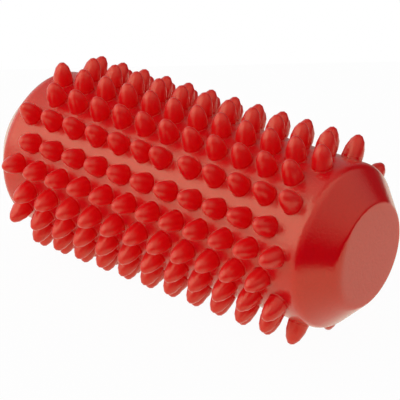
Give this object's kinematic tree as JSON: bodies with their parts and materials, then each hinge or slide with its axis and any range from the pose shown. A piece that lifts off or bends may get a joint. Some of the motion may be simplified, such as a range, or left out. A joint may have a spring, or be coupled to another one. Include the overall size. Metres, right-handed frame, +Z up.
{
  "type": "massage roller",
  "caption": "Air-filled vinyl massage roller: a barrel with staggered rows of pointed knobs, coned ends with flat round faces, and a flush rubber needle valve at the far end.",
  "frame": {"origin": "middle of the footprint, on the surface that the roller lies on", "axes": "+X along the roller towards the plain end, +Z up; the roller lies on two rows of knob tips, one on each side of the XZ plane"},
  "size_m": [0.1458, 0.0714, 0.0714],
  "materials": {
    "shell_vinyl": "glossy soft vinyl, slightly translucent",
    "valve_rubber": "matt rubber"
  },
  "bodies": {
    "root": {"roller_shell": "shell_vinyl", "valve_core": "valve_rubber"}
  },
  "joints": []
}
